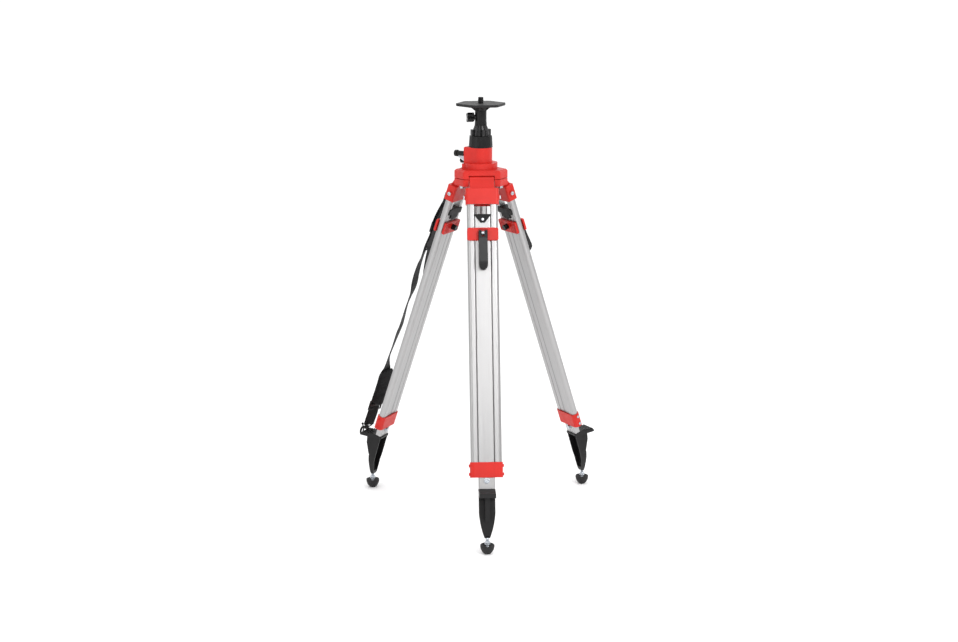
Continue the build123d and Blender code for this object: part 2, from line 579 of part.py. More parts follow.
def pad():
    """Dished rubber pad with a small flat foot."""
    outline = Polyline((0, 0), (8, 0)) + Spline((8, 0), (13.6, 6), (17.4, 13.5), (18.8, 20.5)) \
        + Polyline((18.8, 20.5), (18.6, 23.6), (16.4, 24.6), (12.5, 21.5), (6.5, 18.6), (0, 18.6),
                   (0, 0))
    body = at(PAD_R, 0, 0) * revolve(make_face(Plane.XZ * outline), Axis.Z)
    return body - cyl(4, 8, 30, PAD_R)


# ---- shoulder strap on the left leg, in its leg frame -------------------------------------------
STRAP_W, STRAP_T = 38.0, 2.4
PAD_W, PAD_T = 48.0, 9.0
STRAP_LINE = [(40, -27, -80), (50, -32, -108), (56.5, -33, -160), (57, -32, -215), (63, -32, -290),
              (60, -30, -370), (64, -27, -430), (63, -25, -510), (68, -22, -590), (64, -21, -636)]
PAD_LINE = [(64, -25, -638), (68, -37, -680), (69, -37, -720), (64, -24, -756)]
LOWER_LINE = [(64, -23, -758), (64, -20, -780), (62, -15, -812)]


def ribbon(points, width, thickness):
    """A flat band along a line of points, as straight lengths joined edge to edge."""
    inner = [Vector(p[0] - thickness / 2, 0, p[2]) for p in points]
    outer = [Vector(p[0] + thickness / 2, 0, p[2]) for p in points]
    band = profile_xz([(v.X, v.Z) for v in inner + outer[::-1]], -90, 90)
    left = [(p[1] - width / 2, p[2]) for p in points]
    right = [(p[1] + width / 2, p[2]) for p in points]
    return band & profile_yz(Polyline(*left, *right[::-1], close=True), -100, 200)


def wire(points, radius):
    """Round wire through a list of points, with a ball at each corner."""
    bent = rod(points[0], points[1], radius)
    for a, b in zip(points[1:], points[2:]):
        bent += at(*a) * Sphere(radius) + rod(a, b, radius)
    return bent


def strap_ring():
    """Rectangular loop that hangs from a lug on the bracket's outer face."""
    top, low = (28.5, -63.5), (37.0, -73.5)
    loop = wire([(top[0], -27, top[1]), (top[0], -6, top[1]), (low[0], -6, low[1]),
                 (low[0], -48, low[1]), (top[0], -48, top[1]), (top[0], -27, top[1])], 2)
    lug = block(22.9, 32.5, -34, -20, -68, -59)
    return loop + fillet(lug.edges().filter_by(Axis.Y).group_by(Axis.X)[-1], 3)


def strap_clip():
    """Loop and snap hook on the strap's lower end, just clear of the foot's tread."""
    loop = fillet(block(57, 67, -34, 5, -828, -816).edges(), 2.5)
    hook = wire([(64, -12, -822), (77, -10, -830), (80, -6, -846), (73, -2, -856)], 2.6)
    return loop + hook


# ---- write every piece ---------------------------------------------------------------------------
save("apex_plate", apex_plate())
save("clamp_plates", clamp_plates())
save("clamp_bolts", *clamp_bolts())
save("column_housing", column_housing())
save("crank_arm", *crank_arm())
save("crank_knob", crank_knob())
save("column_tube", column_tube())
save("column_caps", *column_caps())
save("lock_nut", lock_nut())
save("inner_column", inner_column())
save("head_hub", head_hub())
save("instrument_plate", instrument_plate())
save("stud", stud())
save("wing_knob", *wing_knob())

LEG_PIECES = {
    "bracket": [bracket()],
    "outer_tubes": outer_tubes(),
    "sleeve": [sleeve()],
    "outer_screws": outer_screws(),
    "inner_leg": [inner_leg()],
    "guide_plug": [guide_plug()],
    "inner_bolts": inner_bolts(),
    "jaw_outer": [jaw(1)],
    "jaw_inner": [jaw(-1)],
    "lever": lever(),
    "clamp_knob": [clamp_knob()],
    "foot": [foot()],
}
for leg, azimuth in LEG_AZIMUTH.items():
    place = to_world(leg)
    for name, pieces in LEG_PIECES.items():
        save(f"{leg}_{name}", *[place * piece for piece in pieces])
    save(f"{leg}_spike_bolt", around(azimuth) * spike_bolt())
    save(f"{leg}_pad", around(azimuth) * pad())

left = to_world("left")
save("strap_ring", left * strap_ring())
save("strap_webbing", *[left * ribbon(line, STRAP_W, STRAP_T) for line in (STRAP_LINE, LOWER_LINE)])
save("shoulder_pad", left * ribbon(PAD_LINE, PAD_W, PAD_T))
save("strap_clip", left * strap_clip())
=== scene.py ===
import bmesh
import bpy
import json
from math import cos, exp, pi, radians, sin, sqrt

from mathutils import Matrix, Vector


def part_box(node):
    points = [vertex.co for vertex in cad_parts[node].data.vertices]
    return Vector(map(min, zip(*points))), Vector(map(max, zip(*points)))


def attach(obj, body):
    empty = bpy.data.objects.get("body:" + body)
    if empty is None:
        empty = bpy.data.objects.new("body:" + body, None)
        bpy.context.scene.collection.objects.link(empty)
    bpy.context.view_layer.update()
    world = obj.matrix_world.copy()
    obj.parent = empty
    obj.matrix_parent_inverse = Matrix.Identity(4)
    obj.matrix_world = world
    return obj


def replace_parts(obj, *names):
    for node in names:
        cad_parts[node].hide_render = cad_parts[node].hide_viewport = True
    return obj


# Looks of an elevating tripod: studio, materials on the CAD pieces, threads, and the
# shoulder strap. Metres, +Z up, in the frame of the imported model.
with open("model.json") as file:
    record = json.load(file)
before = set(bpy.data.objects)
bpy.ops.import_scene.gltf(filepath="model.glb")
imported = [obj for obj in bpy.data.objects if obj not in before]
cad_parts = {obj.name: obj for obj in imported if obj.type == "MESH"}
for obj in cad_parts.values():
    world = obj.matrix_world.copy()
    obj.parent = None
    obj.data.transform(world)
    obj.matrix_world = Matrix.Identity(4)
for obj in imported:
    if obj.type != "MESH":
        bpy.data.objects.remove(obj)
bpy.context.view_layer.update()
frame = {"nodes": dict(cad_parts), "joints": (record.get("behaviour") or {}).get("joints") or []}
NODES = frame["nodes"]
JOINTS = {joint["name"]: joint for joint in frame["joints"]}
LEGS = ("front", "right", "left")
MM = 0.001


def leg_frame(leg):
    """Axes of a leg as matrix columns: outward, tangential, up along the leg; origin at the hinge."""
    tangential = Vector(JOINTS[f"{leg}_leg_fold"]["axis"])
    up = -Vector(JOINTS[f"{leg}_leg_slide"]["axis"])
    outward = tangential.cross(up)
    matrix = Matrix((outward, tangential, up)).transposed().to_4x4()
    matrix.translation = Vector(JOINTS[f"{leg}_leg_fold"]["pos_m"])
    return matrix


LEG_FRAME = {leg: leg_frame(leg) for leg in LEGS}
LEVER_PIN_X, CLAMP_LEVEL = 0.0294, -0.149      # cross pin of the lever, in the leg frame

# ---- camera ---------------------------------------------------------------------------
CAMERA_PLACE = (-0.206, -4.163, 1.549)
CAMERA_PITCH = 13.65        # degrees below the horizon
CAMERA_TURN = -2.77         # degrees, looking at the column
CAMERA_LENS = 58.77


def make_camera():
    data = bpy.data.cameras.new("camera")
    data.lens = CAMERA_LENS
    data.sensor_width = 36
    data.clip_end = 200
    camera = bpy.data.objects.new("camera", data)
    camera.location = CAMERA_PLACE
    camera.rotation_euler = (radians(90 - CAMERA_PITCH), 0, radians(CAMERA_TURN))
    bpy.context.scene.collection.objects.link(camera)
    bpy.context.scene.camera = camera


# ---- studio ---------------------------------------------------------------------------
def area_light(name, place, target, size, power):
    data = bpy.data.lights.new(name, "AREA")
    data.shape = "RECTANGLE"
    data.size, data.size_y = size
    data.energy = power
    light = bpy.data.objects.new(name, data)
    light.location = place
    light.rotation_euler = (Vector(target) - Vector(place)).to_track_quat("-Z", "Y").to_euler()
    bpy.context.scene.collection.objects.link(light)


def studio_walls(tree):
    """Brightness by direction: a bright ceiling, a white wall behind and a dim room in front."""
    split = tree.nodes.new("ShaderNodeSeparateXYZ")
    tree.links.new(tree.nodes.new("ShaderNodeTexCoord").outputs["Generated"], split.inputs[0])
    total = 0.64
    for axis, amount in (("Y", 0.42), ("Z", 0.78)):
        term = tree.nodes.new("ShaderNodeMath")
        term.operation = "MULTIPLY_ADD"
        tree.links.new(split.outputs[axis], term.inputs[0])
        term.inputs[1].default_value = amount
        if isinstance(total, float):
            term.inputs[2].default_value = total
        else:
            tree.links.new(total, term.inputs[2])
        total = term.outputs["Value"]
    bounded = tree.nodes.new("ShaderNodeClamp")
    tree.links.new(total, bounded.inputs["Value"])
    bounded.inputs["Min"].default_value = 0.16
    bounded.inputs["Max"].default_value = 1.6
    return bounded.outputs["Result"]


def make_studio():
    scene = bpy.context.scene
    scene.view_settings.view_transform = "Standard"
    scene.view_settings.look = "None"
    world = bpy.data.worlds.new("studio")
    world.use_nodes = True
    sky = world.node_tree.nodes["Background"]
    sky.inputs["Color"].default_value = (1.0, 1.0, 1.0, 1)
    world.node_tree.links.new(studio_walls(world.node_tree), sky.inputs["Strength"])
    scene.world = world
    middle = (0, 0, 0.6)
    area_light("key", (1.7, -2.6, 2.7), middle, (0.7, 0.7), 60)
    area_light("front", (0.1, -5.6, 3.1), middle, (1.8, 0.9), 38)
    area_light("side", (-2.3, -1.9, 1.7), middle, (0.7, 1.4), 12)

    bpy.ops.mesh.primitive_circle_add(vertices=96, radius=70, fill_type="NGON")
    floor = bpy.context.object
    floor.name = "floor"
    paper = Surface("paper", (0.94, 0.94, 0.94), roughness=0.9, specular=0.0)
    paper.colour(paper.mix(paper.noise(paper.place(), 3, 3), (0.935, 0.935, 0.94), (0.945, 0.945, 0.945)))
    floor.data.materials.append(paper.material)


# ---- materials ------------------------------------------------------------------------
class Surface:
    """A Principled material and the few nodes it is built from."""

    def __init__(self, name, colour, roughness=0.5, metallic=0.0, specular=0.5, **inputs):
        self.material = bpy.data.materials.new(name)
        self.material.use_nodes = True
        self.nodes = self.material.node_tree.nodes
        self.links = self.material.node_tree.links
        self.shader = self.nodes["Principled BSDF"]
        self.shader.inputs["Base Color"].default_value = (*colour, 1)
        self.shader.inputs["Roughness"].default_value = roughness
        self.shader.inputs["Metallic"].default_value = metallic
        self.shader.inputs["Specular IOR Level"].default_value = specular
        for key, value in inputs.items():
            self.shader.inputs[key.replace("_", " ").title()].default_value = value
        self.material.diffuse_color = (*colour, 1)

    @classmethod
    def reopen(cls, material):
        """The surface of a material made earlier, to add to it."""
        surface = cls.__new__(cls)
        surface.material = material
        surface.nodes, surface.links = material.node_tree.nodes, material.node_tree.links
        surface.shader = surface.nodes["Principled BSDF"]
        return surface

    def add(self, kind, **inputs):
        node = self.nodes.new(kind)
        for key, value in inputs.items():
            self.connect(value, node.inputs[key.replace("_", " ").title()])
        return node

    def connect(self, value, socket):
        if isinstance(value, bpy.types.NodeSocket):
            self.links.new(value, socket)
        else:
            socket.default_value = value

    def place(self, scale=(1, 1, 1), axes=None):
        """Object coordinates, times scale, along axes if they are given."""
        here = self.nodes.new("ShaderNodeTexCoord").outputs["Object"]
        if axes is not None:
            joined = self.nodes.new("ShaderNodeCombineXYZ")
            for axis, socket in zip(axes, joined.inputs):
                dot = self.nodes.new("ShaderNodeVectorMath")
                dot.operation = "DOT_PRODUCT"
                self.links.new(here, dot.inputs[0])
                dot.inputs[1].default_value = axis
                self.links.new(dot.outputs["Value"], socket)
            here = joined.outputs["Vector"]
        mapping = self.nodes.new("ShaderNodeMapping")
        self.links.new(here, mapping.inputs["Vector"])
        mapping.inputs["Scale"].default_value = scale
        return mapping.outputs["Vector"]

    def uv(self, scale=(1, 1, 1)):
        mapping = self.nodes.new("ShaderNodeMapping")
        self.links.new(self.nodes.new("ShaderNodeTexCoord").outputs["UV"], mapping.inputs["Vector"])
        mapping.inputs["Scale"].default_value = scale
        return mapping.outputs["Vector"]

    def noise(self, vector, scale, detail=2, roughness=0.5):
        node = self.add("ShaderNodeTexNoise", vector=vector, scale=scale, detail=detail,
                        roughness=roughness)
        return node.outputs["Fac"]

    def ramp(self, value, low, high, dark=0.0, light=1.0):
        """Maps low..high to dark..light, clamped."""
        node = self.nodes.new("ShaderNodeMapRange")
        self.links.new(value, node.inputs["Value"])
        for key, number in zip(("From Min", "From Max", "To Min", "To Max"), (low, high, dark, light)):
            node.inputs[key].default_value = number
        return node.outputs["Result"]

    def math(self, operation, a, b=0.0):
        node = self.nodes.new("ShaderNodeMath")
        node.operation = operation
        self.connect(a, node.inputs[0])
        self.connect(b, node.inputs[1])
        return node.outputs["Value"]

    def mix(self, factor, a, b):
        node = self.nodes.new("ShaderNodeMix")
        node.data_type = "RGBA"
        self.connect(factor, node.inputs["Factor"])
        for value, socket in ((a, node.inputs[6]), (b, node.inputs[7])):
            self.connect((*value, 1) if isinstance(value, tuple) else value, socket)
        return node.outputs[2]

    def colour(self, socket):
        self.links.new(socket, self.shader.inputs["Base Color"])

    def roughness(self, socket):
        self.links.new(socket, self.shader.inputs["Roughness"])

    def bump(self, height, distance, strength=1.0, below=None):
        node = self.nodes.new("ShaderNodeBump")
        node.inputs["Strength"].default_value = strength
        node.inputs["Distance"].default_value = distance
        self.links.new(height, node.inputs["Height"])
        if below is not None:
            self.links.new(below, node.inputs["Normal"])
        self.links.new(node.outputs["Normal"], self.shader.inputs["Normal"])
        return node.outputs["Normal"]


def dust(surface, base, light, amount=0.35):
    """Base colour with soft cloudy variation, and a paler tone on scuffed spots."""
    clouds = surface.ramp(surface.noise(surface.place(), 18, 4), 0.35, 0.7)
    toned = surface.mix(clouds, base, tuple(c * 0.88 for c in base))
    scuffs = surface.ramp(surface.noise(surface.place((1, 1, 0.4)), 130, 6, 0.7), 0.62, 0.80, 0, amount)
    surface.colour(surface.mix(scuffs, toned, light))


def red_casting():
    """Satin red moulded plastic with a fine grain."""
    red = Surface("red_casting", (0.56, 0.015, 0.009), roughness=0.42, specular=0.34)
    dust(red, (0.56, 0.015, 0.009), (0.64, 0.045, 0.032), 0.25)
    red.roughness(red.ramp(red.noise(red.place(), 60, 4), 0.3, 0.7, 0.36, 0.50))
    grain = red.bump(red.noise(red.place(), 1500, 2), 0.00006, 0.5)
    red.bump(red.noise(red.place(), 90, 3), 0.0003, 0.25, grain)
    return red.material


def black_plastic(name, tone, roughness):
    """Black nylon: spark-eroded grain, a little paler where it is rubbed."""
    black = Surface(name, (tone, tone, tone * 1.02), roughness=roughness, specular=0.24)
    dust(black, (tone * 1.04, tone, tone * 1.04), (tone * 2.0, tone * 1.95, tone * 2.0), 0.25)
    black.roughness(black.ramp(black.noise(black.place(), 75, 4), 0.3, 0.7,
                               roughness - 0.06, roughness + 0.08))
    black.bump(black.noise(black.place(), 1300, 3), 0.00008, 0.6)
    return black.material


FLUTES = 14


def fluted_plastic():
    """Black nylon grip ring: broad flutes round the column, with painted shade in the grooves and patchy
    painted highlights along the crests.
    """
    nylon = Surface("fluted_plastic", (0.0065, 0.0065, 0.0068), roughness=0.32, specular=0.30)
    split = nylon.nodes.new("ShaderNodeSeparateXYZ")
    nylon.links.new(nylon.place(), split.inputs[0])
    angle = nylon.math("ARCTAN2", split.outputs["Y"], split.outputs["X"])
    wave = nylon.ramp(nylon.math("COSINE", nylon.math("MULTIPLY", angle, FLUTES)), -1, 1)
    # The groove mask drives both the flutes' bump and a painted shade in the grooves.
    groove_depth_and_shade = nylon.ramp(wave, 0.0, 0.30)
    # Painted highlights along the flute crests, broken up by noise.
    crest_highlight = nylon.math("MULTIPLY", nylon.ramp(wave, 0.55, 1.0), nylon.ramp(
        nylon.noise(nylon.place((1, 1, 0.3)), 160, 5), 0.40, 0.65))
    # Painted shade: darker colour in the grooves, lighter on the lands between them.
    toned = nylon.mix(groove_depth_and_shade, (0.0015, 0.0015, 0.0016), (0.0105, 0.0102, 0.0108))
    # The pale colour mixed in here is the painted highlight on the crests.
    nylon.colour(nylon.mix(nylon.math("MULTIPLY", crest_highlight, 0.8), toned, (0.060, 0.058, 0.060)))
    nylon.roughness(nylon.ramp(nylon.noise(nylon.place(), 75, 4), 0.3, 0.7, 0.26, 0.42))
    grain = nylon.bump(nylon.noise(nylon.place(), 1300, 3), 0.00008, 0.5)
    nylon.bump(groove_depth_and_shade, 0.0026, 1.0, grain)
    return nylon.material


def rubber():
    """Matt rubber with mould bloom and a pebbled skin."""
    skin = Surface("rubber", (0.014, 0.0135, 0.014), roughness=0.66, specular=0.35)
    dust(skin, (0.014, 0.0135, 0.014), (0.045, 0.044, 0.043), 0.45)
    skin.bump(skin.noise(skin.place(), 900, 4, 0.6), 0.00015, 0.7)
    return skin.material


def leg_place(surface, leg):
    """Coordinates in a leg's frame: outward, sideways and up from the hinge."""
    axes = unit_axes(LEG_FRAME[leg])
    shift = surface.nodes.new("ShaderNodeVectorMath")
    shift.operation = "SUBTRACT"
    surface.links.new(surface.place(axes=axes), shift.inputs[0])
    origin = LEG_FRAME[leg].translation
    shift.inputs[1].default_value = [origin.dot(Vector(axis)) for axis in axes]
    split = surface.nodes.new("ShaderNodeSeparateXYZ")
    surface.links.new(shift.outputs["Vector"], split.inputs[0])
    return split.outputs["X"], split.outputs["Y"], split.outputs["Z"]


RIB_LOW, RIB_HIGH, RIB_PITCH = -0.227, -0.1626, 0.0021     # the lever's ribs, in the leg frame


def lever_plastic(leg):
    """Grey-black nylon lever with fine ribs along its middle and smooth darker ends; along the ribs the
    crests are painted lighter and the grooves darker, as painted highlight and painted shade.
    """
    nylon = Surface(f"{leg}_lever_plastic", (0.03, 0.03, 0.03), roughness=0.42, specular=0.30)
    _, across, along = leg_place(nylon, leg)
    middle = nylon.math("MULTIPLY", nylon.ramp(along, RIB_LOW - 0.0005, RIB_LOW + 0.0005),
                        nylon.ramp(along, RIB_HIGH + 0.0006, RIB_HIGH - 0.0006))
    ribs = nylon.ramp(nylon.math("SINE", nylon.math("MULTIPLY", across, 2 * pi / RIB_PITCH)), -1, 1)
    ribbed = nylon.math("MULTIPLY", ribs, middle)
    mottle = nylon.ramp(nylon.noise(nylon.place(), 240, 4), 0.3, 0.7)
    dark = nylon.mix(mottle, (0.005, 0.005, 0.0053), (0.008, 0.008, 0.0083))
    # Painted highlight and painted shade on the ribs: lighter on each crest, darker between them.
    light = nylon.mix(ribs, (0.013, 0.013, 0.0134), (0.025, 0.025, 0.0256))
    nylon.colour(nylon.mix(middle, dark, light))
    nylon.roughness(nylon.ramp(mottle, 0, 1, 0.36, 0.48))
    grain = nylon.bump(nylon.noise(nylon.place(), 1300, 3), 0.00008, 0.5)
    nylon.bump(ribbed, 0.0003, 0.8, grain)
    return nylon.material


def inner_aluminium(leg):
    """The sliding leg: as the tubes, with a dark line painted down the middle of its inner face: painted
    shade standing in for the shadow in a gap.
    """
    material = aluminium(f"{leg}_inner_aluminium", unit_axes(LEG_FRAME[leg]))
    metal = Surface.reopen(material)
    outward, across, _ = leg_place(metal, leg)
    # Painted shade: a thin dark line down the middle of the inner face, in place of a gap's shadow.
    gap_shade_line = metal.ramp(metal.math("ABSOLUTE", across), 0.0006, 0.0014, 1, 0)
    inside = metal.ramp(outward, 0.0, 0.002, 1, 0)
    old = metal.shader.inputs["Base Color"].links[0].from_socket
    # Mixes the painted gap shade (dark grey) into the metal's colour.
    metal.colour(metal.mix(metal.math("MULTIPLY", gap_shade_line, inside), old, (0.10, 0.10, 0.105)))
    return material


def aluminium(name, axes, tone=0.43):
    """Satin anodised extrusion: long fine drawing lines along the third axis."""
    metal = Surface(name, (tone, tone, tone * 1.01), roughness=0.36, metallic=1.0)
    lines = metal.noise(metal.place((700, 700, 3), axes), 1, 4, 0.6)
    clouds = metal.noise(metal.place((9, 9, 3), axes), 1, 3)
    fine = metal.mix(metal.ramp(lines, 0.3, 0.7), (tone * 0.96, tone * 0.95, tone * 0.95),
                     (tone * 1.03, tone * 1.02, tone * 1.02))
    metal.colour(metal.mix(metal.ramp(clouds, 0.3, 0.7, 0, 0.25), fine,
                           (tone * 0.90, tone * 0.89, tone * 0.90)))
    metal.roughness(metal.ramp(lines, 0.25, 0.75, 0.30, 0.44))
    metal.bump(lines, 0.00004, 0.35)
    return metal.material


def zinc():
    """Bright zinc plating with a cold cast and a soft mottle."""
    metal = Surface("zinc", (0.50, 0.53, 0.57), roughness=0.24, metallic=1.0)
    mottle = metal.ramp(metal.noise(metal.place(), 420, 4), 0.35, 0.65)
    metal.colour(metal.mix(mottle, (0.44, 0.48, 0.53), (0.56, 0.58, 0.61)))
    metal.roughness(metal.ramp(metal.noise(metal.place(), 260, 3), 0.3, 0.7, 0.20, 0.36))
    metal.bump(metal.noise(metal.place(), 1100, 2), 0.00003, 0.5)
    return metal.material


CORD_PITCH, PICK_PITCH = 0.0021, 0.0017        # across and along the webbing


def webbing(name, tone=0.006):
    """Woven polypropylene: warp cords along the strap, crossed by weft picks.
    The mesh's UV holds metres: across the strap, then along it."""
    cloth = Surface(name, (tone,) * 3, roughness=0.55, specular=0.16, sheen_weight=0.04,
                    sheen_roughness=0.5)
    split = cloth.nodes.new("ShaderNodeSeparateXYZ")
    cloth.links.new(cloth.uv(), split.inputs[0])
    across, along = split.outputs["X"], split.outputs["Y"]
    cords = cloth.math("SINE", cloth.math("MULTIPLY", across, 2 * pi / CORD_PITCH))
    shifted = cloth.math("ADD", cloth.math("MULTIPLY", along, 2 * pi / PICK_PITCH),
                         cloth.math("MULTIPLY", across, pi / CORD_PITCH))
    picks = cloth.math("SINE", shifted)
    weave = cloth.ramp(cloth.math("ADD", cords, cloth.math("MULTIPLY", picks, 0.7)), -1.7, 1.7)
    fuzz = cloth.noise(cloth.place(), 1800, 3)
    cloth.colour(cloth.mix(cloth.math("MULTIPLY", weave, cloth.ramp(fuzz, 0.2, 0.8, 0.6, 1.0)),
                           (tone * 0.45,) * 3, (tone * 2.2, tone * 2.15, tone * 2.25)))
    cloth.roughness(cloth.ramp(fuzz, 0.3, 0.7, 0.55, 0.72))
    cloth.bump(weave, 0.0003, 0.8)
    return cloth.material


THREAD_PITCH = 0.0013


def pad_fabric():
    """Plain-woven nylon over foam."""
    cloth = Surface("pad_fabric", (0.012, 0.012, 0.013), roughness=0.8, specular=0.15,
                    sheen_weight=0.05, sheen_roughness=0.5)
    split = cloth.nodes.new("ShaderNodeSeparateXYZ")
    cloth.links.new(cloth.place(axes=LEFT_AXES), split.inputs[0])
    threads = [cloth.math("SINE", cloth.math("MULTIPLY", split.outputs[axis], 2 * pi / THREAD_PITCH))
               for axis in "YZ"]
    weave = cloth.ramp(cloth.math("MULTIPLY", *threads), -1, 1)
    fuzz = cloth.noise(cloth.place(), 1500, 3)
    cloth.colour(cloth.mix(weave, (0.005, 0.005, 0.0055), (0.018, 0.018, 0.019)))
    cloth.roughness(cloth.ramp(fuzz, 0.3, 0.7, 0.72, 0.88))
    cloth.bump(weave, 0.00025, 0.7)
    return cloth.material


def unit_axes(matrix):
    return [tuple(matrix.col[i].to_3d()) for i in range(3)]


LEFT_AXES = unit_axes(LEG_FRAME["left"])


def dress_cad():
    """Gives every CAD node its material and softens its hard edges."""
    finishes = {
        "red": red_casting(),
        "black": black_plastic("black_plastic", 0.0065, 0.36),
        "foot": black_plastic("foot_plastic", 0.0085, 0.40),
        "gloss": black_plastic("gloss_plastic", 0.004, 0.20),
        "zinc": zinc(),
        "rubber": rubber(),
        "column": aluminium("column_aluminium", [(1, 0, 0), (0, 1, 0), (0, 0, 1)], 0.55),
        "fluted": fluted_plastic(),
        "plate": black_plastic("plate_plastic", 0.014, 0.50),
        "plug": black_plastic("plug_plastic", 0.0022, 0.50),
    }
    for leg in LEGS:
        finishes[leg] = aluminium(f"{leg}_aluminium", unit_axes(LEG_FRAME[leg]))
        finishes[f"{leg}_inner"] = inner_aluminium(leg)
        finishes[f"{leg}_lever"] = lever_plastic(leg)
    by_name = {
        "apex_plate": "red", "clamp_plates": "red", "clamp_bolts": "zinc",
        "column_housing": "red", "crank_arm": "zinc", "crank_knob": "gloss",
        "column_tube": "column", "column_caps": "black", "lock_nut": "fluted",
        "inner_column": "column", "head_hub": "black", "instrument_plate": "plate",
        "stud": "black", "wing_knob": "gloss", "strap_ring": "gloss", "strap_clip": "gloss",
    }
    by_suffix = {
        "bracket": "red", "outer_screws": "zinc", "sleeve": "red", "guide_plug": "plug",
        "inner_bolts": "zinc", "jaw_outer": "red", "jaw_inner": "red",
        "clamp_knob": "gloss", "foot": "foot", "spike_bolt": "zinc", "pad": "rubber",
    }
    for leg in LEGS:
        for suffix, finish in by_suffix.items():
            by_name[f"{leg}_{suffix}"] = finish
        by_name[f"{leg}_outer_tubes"] = leg
        by_name[f"{leg}_inner_leg"] = f"{leg}_inner"
        by_name[f"{leg}_lever"] = f"{leg}_lever"
    for name, finish in by_name.items():
        node = NODES[name]
        node.data.materials.clear()
        node.data.materials.append(finishes[finish])
        soften(node)
    paint_details(finishes)
    return finishes


def soften(node, width=0.0005):
    """Rounds the sharp edges of an imported mesh a little and shades it by angle."""
    weld = node.modifiers.new("weld", "WELD")
    weld.merge_threshold = 0.000005
    bevel = node.modifiers.new("bevel", "BEVEL")
    bevel.width = width
    bevel.segments = 2
    bevel.limit_method = "ANGLE"
    bevel.angle_limit = radians(30)
    split = node.modifiers.new("split", "EDGE_SPLIT")
    split.split_angle = radians(38)
    node.modifiers.new("shade", "WEIGHTED_NORMAL").weight = 80
    for polygon in node.data.polygons:
        polygon.use_smooth = True


def repaint(node, finish, chosen):
    """Gives a second finish to the polygons whose centre is chosen."""
    mesh = NODES[node].data
    mesh.materials.append(finish)
    for polygon in mesh.polygons:
        if chosen(polygon.center):
            polygon.material_index = 1


LEVER_PIN_RADIUS, SLEEVE_TOP = 0.00262, -0.70     # pin's cross hole, and the leg's lower guide
WING_SCREW_END = 0.0194                           # from the column's axis
SLEEVE_START, SLEEVE_RADIUS = 0.038, 0.0095       # spacer and cap on the crank shaft


def paint_details(finishes):
    """Screws, pins and rivets that are part of a node of another finish."""
    for leg in LEGS:
        place = LEG_FRAME[leg].inverted()
        pin = (LEVER_PIN_X, CLAMP_LEVEL)
        repaint(f"{leg}_lever", finishes["zinc"],
                lambda p: (Vector(((place @ p).x, (place @ p).z)) - Vector(pin)).length < LEVER_PIN_RADIUS)
        if leg != "right":
            repaint(f"{leg}_outer_screws", finishes["red"], lambda p: (place @ p).z < SLEEVE_TOP)
    repaint("wing_knob", finishes["zinc"], lambda p: Vector((p.x, p.y)).length < WING_SCREW_END)
    shaft, level = -Vector(JOINTS["crank_turn"]["axis"]), JOINTS["crank_turn"]["pos_m"][2]
    repaint("crank_arm", finishes["gloss"],
            lambda p: p.dot(shaft) > SLEEVE_START and abs(p.z - level) < SLEEVE_RADIUS)


# ---- building meshes --------------------------------------------------------------------
def new_object(name, bm, material, body, smooth_faces=True):
    """Turns a bmesh into a piece that rides on a body."""
    bmesh.ops.recalc_face_normals(bm, faces=bm.faces)
    mesh = bpy.data.meshes.new(name)
    bm.to_mesh(mesh)
    bm.free()
    for polygon in mesh.polygons:
        polygon.use_smooth = smooth_faces
    mesh.materials.append(material)
    piece = bpy.data.objects.new(name, mesh)
    bpy.context.scene.collection.objects.link(piece)
    if body:
        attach(piece, body)
    return piece


def loft(bm, rings, cyclic=False):
    """Skins rings of points that all have the same count."""
    made = [[bm.verts.new(p) for p in ring] for ring in rings]
    count = len(made[0])
    pairs = list(zip(made, made[1:] + made[:1])) if cyclic else list(zip(made, made[1:]))
    for low, high in pairs:
        for i in range(count):
            j = (i + 1) % count
            bm.faces.new((low[i], low[j], high[j], high[i]))
    if not cyclic:
        bm.faces.new(made[0][::-1])
        bm.faces.new(made[-1])
    return made


def circle(centre, across, up, radius, count=20):
    return [centre + across * (radius * cos(2 * pi * i / count)) + up * (radius * sin(2 * pi * i / count))
            for i in range(count)]


def sweep(bm, points, radius, count=14, cyclic=False):
    """Round bar through points; radius is a number or one for each point."""
    radii = radius if isinstance(radius, (list, tuple)) else [radius] * len(points)
    rings, side = [], None
    for i, point in enumerate(points):
        before = points[i - 1] if i or cyclic else points[i]
        after = points[(i + 1) % len(points)] if i + 1 < len(points) or cyclic else points[i]
        along = (after - before).normalized()
        side = along.orthogonal() if side is None else side - along * side.dot(along)
        side.normalize()
        rings.append(circle(point, side, along.cross(side), radii[i], count))
    loft(bm, rings, cyclic=cyclic)


def curve_through(rows, step):
    """Rows of numbers every step or so along a Catmull-Rom curve through the given rows.
    The first three numbers are the place."""
    rows = [Vector(row) for row in rows]
    padded = [rows[0] * 2 - rows[1]] + rows + [rows[-1] * 2 - rows[-2]]
    out = []
    for a, b, c, d in zip(padded, padded[1:], padded[2:], padded[3:]):
        length = sqrt(sum((c[i] - b[i]) ** 2 for i in range(3)))
        count = max(2, int(length / step))
        for k in range(count):
            t = k / count
            out.append(0.5 * ((2 * b) + (c - a) * t + (2 * a - 5 * b + 4 * c - d) * t ** 2
                              + (3 * b - a - 3 * c + d) * t ** 3))
    return out + [rows[-1]]


def revolve(bm, outline, base, up, across, count=32):
    """Turned solid: outline is (radius, height) rows from the axis at the bottom to the top."""
    side = up.cross(across)
    rings = [circle(base + up * h, across, side, max(r, 1e-5), count) for r, h in outline]
    loft(bm, rings)


